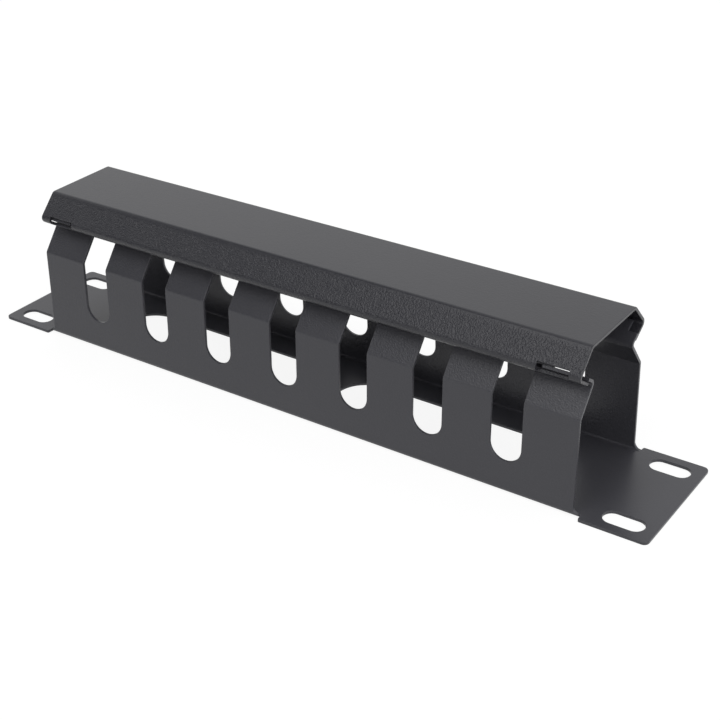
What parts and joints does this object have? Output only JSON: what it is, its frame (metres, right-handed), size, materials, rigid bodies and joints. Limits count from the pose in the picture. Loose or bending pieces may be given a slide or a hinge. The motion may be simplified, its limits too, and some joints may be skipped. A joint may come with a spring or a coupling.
{
  "type": "horizontal cable manager",
  "caption": "Folded steel channel with slotted finger walls, slotted mounting ears and a clip-on cover, for routing patch cables across a small rack.",
  "frame": {"origin": "centre of the base's back face, on the plane that bears on the rack rails", "axes": "+X along the rack's width, +Y up the rack, +Z out of the rack, towards the cover"},
  "size_m": [0.254, 0.0444, 0.0525],
  "materials": {
    "base_coat": "black powder coat, fine orange peel, satin",
    "cover_coat": "black powder coat, leathery orange peel, satin"
  },
  "bodies": {
    "base": {"channel_base": "base_coat"},
    "cover": {"snap_cover": "cover_coat"}
  },
  "joints": [
    {"name": "cover_slide", "type": "slide", "parent": "base", "child": "cover", "axis": [1, 0, 0], "range_m": [-0.235, 0.235]}
  ]
}
